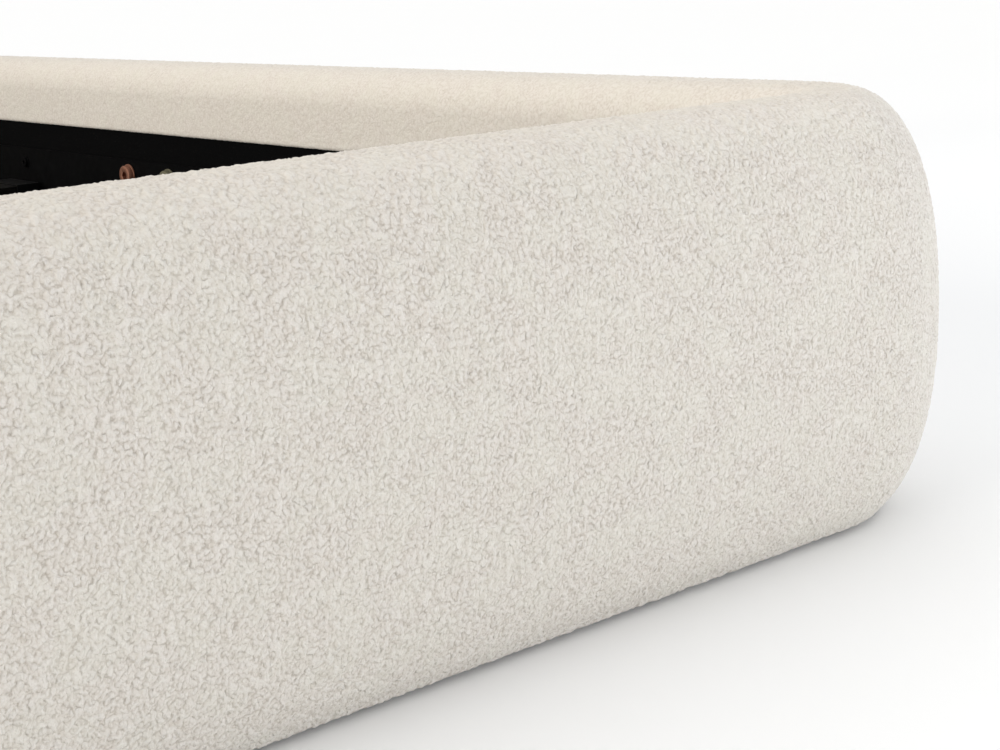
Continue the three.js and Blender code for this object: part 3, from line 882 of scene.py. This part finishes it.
def headboard_back():
    """The black cloth over the headboard's timber frame, with its edges turned under and stapled."""
    low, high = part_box("headboard_back_cover")
    x = np.linspace(low.x, high.x, BACK_COLUMNS)
    z = np.linspace(low.z, high.z, BACK_ROWS)
    x, z = np.meshgrid(x, z, indexing="ij")
    edge = np.minimum(np.minimum(x - low.x, high.x - x), np.minimum(z - low.z, high.z - z))
    fold = np.clip(edge / FOLD_EDGE, 0, 1) ** 0.5
    fold = fold * np.clip((FOLD_WIDTH - edge) / FOLD_STEP, 0, 1)
    loose = np.clip((edge - 0.03) / 0.12, 0, 1)
    along = np.where((x - low.x < edge + 1e-6) | (high.x - x < edge + 1e-6), z - low.z, x - low.x)
    pucker = np.cos(2 * math.pi * along / STAPLE_PITCH) * np.exp(-(((edge - 0.045) / 0.02) ** 2))
    sag = loose * (0.5 + 0.9 * slow_waves(x, z, 0.5, 21)) + 0.25 * pucker
    y = low.y + 0.0006 + 0.001 * sag + 0.0007 * fold
    points = np.stack([x, y, z], -1).reshape(-1, 3)
    name, replaced = "headboard_back_cloth", "headboard_back_cover"
    piece = cloth_piece(name, points, BACK_COLUMNS, BACK_ROWS, replaced, False)
    pins = list(back_staple_places(low, high, low.y + 0.0014))
    fixings = staples("headboard_back_staples", pins)


for word, side in SIDES.items():
    side_lining(word, side)
foot_lining()
headboard_back()

# ---------------------------------------------------------------- bolts, screws, slat clips and screw feet


def socket_head(radius, height, washer, washer_height, socket, shank, shank_length):
    """The profile of a flat-headed bolt with a washer and a hexagonal socket, standing on z = 0."""
    top = washer_height + height
    soft = radius * 0.06
    ease = 0.0003  # the washer's worn edges
    return [
        (shank, -shank_length, 0),
        (shank, 0, 0),
        (washer - ease, 0, 0),
        (washer, ease, 0),
        (washer, washer_height - ease, 0),
        (washer - ease, washer_height, 0),
        (radius - soft, washer_height, 0),
        (radius, washer_height + soft, 0),
        (radius, top - 2 * soft, 0),
        (radius - soft * 0.6, top - soft * 0.6, 0),
        (radius - 2 * soft, top, 0),
        (socket + soft, top, 0),
        (socket, top - soft * 0.7, 1),
        (socket, top - height * 1.1, 1),
        (socket * 0.2, top - height * 1.2, 0),
    ]


BOLT_HEAD = 0.006
BOLT_WASHER = 0.002


def ledger_bolts():
    profile = socket_head(
        radius=0.0125,
        height=BOLT_HEAD,
        washer=0.014,
        washer_height=BOLT_WASHER,
        socket=0.0058,
        shank=0.004,
        shank_length=0.02,
    )
    proud = BOLT_WASHER + BOLT_HEAD
    for word, side in SIDES.items():
        for number, surface in (("1", DULL_BRONZE), ("2", BRONZE)):
            low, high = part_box(f"ledger_bolt_{word}_{number}")
            middle = (low + high) / 2
            seat = low.x + proud if side > 0 else high.x - proud
            piece = turned_piece(f"rail_bolt_{word}_{number}", profile, 72)
            point_at(piece, (seat, middle.y, middle.z), (-side, 0, 0))
            finish_piece(piece, surface)
            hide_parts(f"ledger_bolt_{word}_{number}")


STEEL_FACE = 0.0023  # how far the angle steels' faces stand in from the rails' inner faces
LEDGER_SCREWS_Y = (-0.93, -0.64, -0.35, 0.31, 0.62, 0.91)
BRACKET_SCREWS_Z = (0.065, 0.115)
BRACKET_SCREW_IN = 0.045  # from the corner
HEAD_STEEL_GAP = 0.001  # the brackets stand this much further from the headboard


def screw_places():
    bolt_low, bolt_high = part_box("ledger_bolt_right_1")
    height = (bolt_low.z + bolt_high.z) / 2
    foot_face = FOOT_Y + STEEL_FACE
    head_face = head_low.y - STEEL_FACE - HEAD_STEEL_GAP
    for side in SIDES.values():
        face = side * (WELL_X - STEEL_FACE)
        for y in LEDGER_SCREWS_Y:
            yield (face, y, height), (-side, 0, 0)
        for end_y, inwards in ((foot_face, 1), (head_face, -1)):
            for z in BRACKET_SCREWS_Z:
                yield (face, end_y + inwards * BRACKET_SCREW_IN, z), (-side, 0, 0)
                yield (side * (WELL_X - BRACKET_SCREW_IN), end_y, z), (0, inwards, 0)


def small_screws():
    profile = socket_head(
        radius=0.0065,
        height=0.0032,
        washer=0.0085,
        washer_height=0.001,
        socket=0.0026,
        shank=0.0025,
        shank_length=0.003,
    )
    for i, (place, direction) in enumerate(screw_places()):
        piece = turned_piece(f"frame_screw_{i + 1:02d}", profile, 36)
        point_at(piece, place, direction)
        finish_piece(piece, STEEL)


CLIP_WALL = 0.0015
CLIP_LENGTH = 0.03
CLIP_SLACK = 0.0002
CLIP_FOOT = 0.0003  # how far above the slat's underside a clip ends


def clip_mesh(low, high, x0, x1, closed_side):
    """A saddle over a slat, open below, from x0 to x1, with an end wall where closed_side isn't 0."""
    wall = CLIP_WALL
    y0, y1 = low.y - CLIP_SLACK, high.y + CLIP_SLACK
    foot, top = low.z + CLIP_FOOT, high.z + CLIP_SLACK
    outline = [
        (y0 - wall, foot),
        (y0 - wall, top + wall),
        (y1 + wall, top + wall),
        (y1 + wall, foot),
        (y1, foot),
        (y1, top),
        (y0, top),
        (y0, foot),
    ]
    mesh = bmesh.new()
    rings = [[mesh.verts.new((x, y, z)) for y, z in outline] for x in (x0, x1)]
    for i in range(len(outline)):
        j = (i + 1) % len(outline)
        mesh.faces.new((rings[0][i], rings[0][j], rings[1][j], rings[1][i]))
    for ring in rings:
        mesh.faces.new((ring[0], ring[1], ring[6], ring[7]))
        mesh.faces.new((ring[1], ring[2], ring[5], ring[6]))
        mesh.faces.new((ring[2], ring[3], ring[4], ring[5]))
    if closed_side:
        end = x1 if closed_side > 0 else x0
        middle = (end + closed_side * wall / 2, (y0 + y1) / 2, (foot + top + wall) / 2)
        size = (wall, y1 - y0 + 2 * wall, top + wall - foot)
        place = Matrix.Translation(middle) @ Matrix.Diagonal((*size, 1))
        bmesh.ops.create_cube(mesh, size=1, matrix=place)
    bmesh.ops.recalc_face_normals(mesh, faces=mesh.faces)
    return mesh


def slat_clip(name, low, high, x0, x1, closed_side):
    mesh = clip_mesh(low, high, x0, x1, closed_side)
    data = bpy.data.meshes.new(name)
    mesh.to_mesh(data)
    mesh.free()
    piece = bpy.data.objects.new(name, data)
    bpy.context.scene.collection.objects.link(piece)
    soften(piece, 0.0005)
    finish_piece(piece, PLASTIC)


def slat_clips():
    for i in range(SLAT_COUNT):
        number = f"{i + 1:02d}"
        low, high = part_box(f"slat_{number}")
        end = high.x + CLIP_SLACK
        slat_clip(f"slat_end_right_{number}", low, high, end - CLIP_LENGTH, end, 1)
        slat_clip(f"slat_end_left_{number}", low, high, -end, CLIP_LENGTH - end, -1)
        slat_clip(f"slat_clip_{number}", low, high, -CLIP_LENGTH / 2, CLIP_LENGTH / 2, 0)


ROD_ROOT = 0.0043
ROD_CREST = 0.0049
ROD_PITCH = 0.0015
ROD_TIP = 0.0036
ROD_START = 0.012  # the height of the pad and its nut
ROD_STEP = 0.0003
ROD_SIDES = 48


def thread_radius(z, turn):
    phase = np.mod(z / ROD_PITCH - turn / (2 * math.pi), 1)
    return ROD_ROOT + (ROD_CREST - ROD_ROOT) * np.clip(2 - 4 * np.abs(phase - 0.5), 0, 1)


def screw_foot(number):
    """A round pad with a hexagon nut on a threaded rod, standing where the CAD foot stands."""
    low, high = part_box(f"levelling_foot_{number}")
    centre = (low + high) / 2
    pad = (high.x - low.x) / 2
    profile = [
        (pad - 0.0025, 0.0, 0),
        (pad - 0.0008, 0.0007, 0),
        (pad, 0.002, 0),
        (pad, 0.0058, 0),
        (pad - 0.0008, 0.0072, 0),
        (pad - 0.0025, 0.0079, 0),
        (pad * 0.62, 0.0084, 0),
        (0.0104, 0.0088, 0),
        (0.01, 0.0092, 1),
        (0.01, 0.0116, 1),
        (0.0088, ROD_START, 0),
    ]
    sides = ROD_SIDES
    turn = np.linspace(0, 2 * math.pi, sides, endpoint=False)
    rod = []
    for z in np.arange(ROD_START, high.z - 0.0008, ROD_STEP):
        radius = thread_radius(z, turn)
        rod.append(np.stack([radius * np.cos(turn), radius * np.sin(turn), np.full(sides, z)], -1))
    tip = turned_points([(ROD_TIP, high.z, 0)], sides)
    points = np.concatenate([turned_points(profile, sides)] + rod + [tip])
    points += np.array([centre.x, centre.y, 0])
    columns = len(points) // sides
    last = np.arange(sides) + (columns - 1) * sides
    quads = grid_faces(columns, sides, closed=True)[:, ::-1]
    piece = mesh_object(f"screw_foot_{number}", points, quads, [np.arange(sides)[::-1], last])
    finish_piece(piece, ZINC, f"foot_{number}", 50)
    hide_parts(f"levelling_foot_{number}")


# ---------------------------------------------------------------- finishes of the CAD pieces that stay


def soften(piece, width):
    bevel = piece.modifiers.new("soft_edges", "BEVEL")
    bevel.width = width
    bevel.segments = 2
    bevel.limit_method = "ANGLE"
    bevel.harden_normals = True


def dress(name, material, edge):
    """Gives a CAD piece its material and softened edges."""
    piece = NODES[name]
    piece.data.materials.clear()
    piece.data.materials.append(material)
    soften(piece, edge)


FINISHES = (
    ("slat_", SLAT_WOOD, 0.002),
    ("ledger_", STEEL, 0.0006),
    ("centre_", STEEL, 0.0008),
    ("cross_bar", STEEL, 0.0008),
    ("beam_bracket", STEEL, 0.0006),
    ("corner_bracket", STEEL, 0.0006),
    ("glide_", PLASTIC, 0.0006),
    ("foot_board", PLYWOOD_X, 0.001),
    ("headboard_panel", PLYWOOD_X, 0.001),
    ("side_board", PLYWOOD_Y, 0.001),
    ("corner_former", PINE_Z, 0.001),
    ("headboard_stile", PINE_Z, 0.002),
    ("headboard_muntin", PINE_Z, 0.002),
    ("headboard_rail", PINE_X, 0.002),
)

ledger_bolts()
small_screws()
slat_clips()
for foot_number in (1, 2, 3):
    screw_foot(foot_number)

for node_name in NODES:
    for start, surface, edge in FINISHES:
        if node_name.startswith(start):
            dress(node_name, surface, edge)
            break

# ---------------------------------------------------------------- floor, light and camera

FLOOR_SIZE = 60
FLOOR_WHITE = (0.975, 0.983, 0.99, 1)
WORLD_AS_LIGHT = 0.75
WORLD_AS_SEEN = 1.05
CAMERA_RIGHT = Vector((0.76087, -0.64739, -0.04449))
CAMERA_UP = Vector((0.18348, 0.14887, 0.97169))
CAMERA_LENS = 63.55
CAMERA_SENSOR = 36.0
CAMERA_FROM_SIDE = 1.173  # in from the bed's right side
CAMERA_FROM_FOOT = 0.7696  # in front of its foot
CAMERA_HEIGHT = 0.44


def make_floor():
    bpy.ops.mesh.primitive_plane_add(size=FLOOR_SIZE, location=(0, 0, 0))
    floor = bpy.context.object
    floor.name = "floor"
    material, tree, shader = new_material("white_floor")
    set_shader(tree, shader, Base_Color=FLOOR_WHITE, Roughness=0.7, Specular_IOR_Level=0.1)
    floor.data.materials.append(material)


def make_world():
    """White to look at, and weaker as light, so that the lamps can shape the loops."""
    world = bpy.data.worlds.new("studio")
    bpy.context.scene.world = world
    world.use_nodes = True
    tree = world.node_tree
    background = tree.nodes["Background"]
    background.inputs["Color"].default_value = (1, 1, 1, 1)
    seen = tree.nodes.new("ShaderNodeLightPath").outputs["Is Camera Ray"]
    strength = ramp(tree, seen, 0.0, 1.0, WORLD_AS_LIGHT, WORLD_AS_SEEN)
    tree.links.new(strength, background.inputs["Strength"])


def area_light(name, place, target, size, power, colour):
    data = bpy.data.lights.new(name, "AREA")
    data.color = colour
    data.shape = "DISK"
    data.size = size
    data.energy = power
    light = bpy.data.objects.new(name, data)
    light.location = place
    light.visible_camera = False
    light.rotation_euler = (Vector(target) - Vector(place)).to_track_quat("-Z", "Y").to_euler()
    bpy.context.scene.collection.objects.link(light)


def sun_light(name, direction, angle, strength, colour):
    data = bpy.data.lights.new(name, "SUN")
    data.color = colour
    data.angle = math.radians(angle)
    data.energy = strength
    light = bpy.data.objects.new(name, data)
    light.rotation_euler = Vector(direction).to_track_quat("Z", "Y").to_euler()
    bpy.context.scene.collection.objects.link(light)


def make_camera():
    """Low over the floor in front of the foot, looking across the near corner on the right."""
    back = CAMERA_RIGHT.cross(CAMERA_UP)
    data = bpy.data.cameras.new("camera")
    data.lens = CAMERA_LENS
    data.sensor_width = CAMERA_SENSOR
    camera = bpy.data.objects.new("camera", data)
    place = Vector((foot_high.x - CAMERA_FROM_SIDE, foot_low.y - CAMERA_FROM_FOOT, CAMERA_HEIGHT))
    turn = Matrix((CAMERA_RIGHT, CAMERA_UP, back)).transposed().to_4x4()
    camera.matrix_world = Matrix.Translation(place) @ turn
    bpy.context.scene.collection.objects.link(camera)
    bpy.context.scene.camera = camera


make_floor()
make_world()
sun_light("key", (0.0, 0.4, 0.92), angle=70, strength=0.52, colour=(1.0, 0.98, 0.955))
sun_light("left_fill", (-0.975, 0.03, 0.21), angle=30, strength=1.95, colour=(1.0, 0.96, 0.89))
area_light(
    "cool_fill",
    place=(3.2, -3.8, 0.25),
    target=(0.9, -0.95, 0.15),
    size=1.6,
    power=104,
    colour=(0.83, 0.9, 1.0),
)
make_camera()
bpy.context.scene.view_settings.view_transform = "Standard"
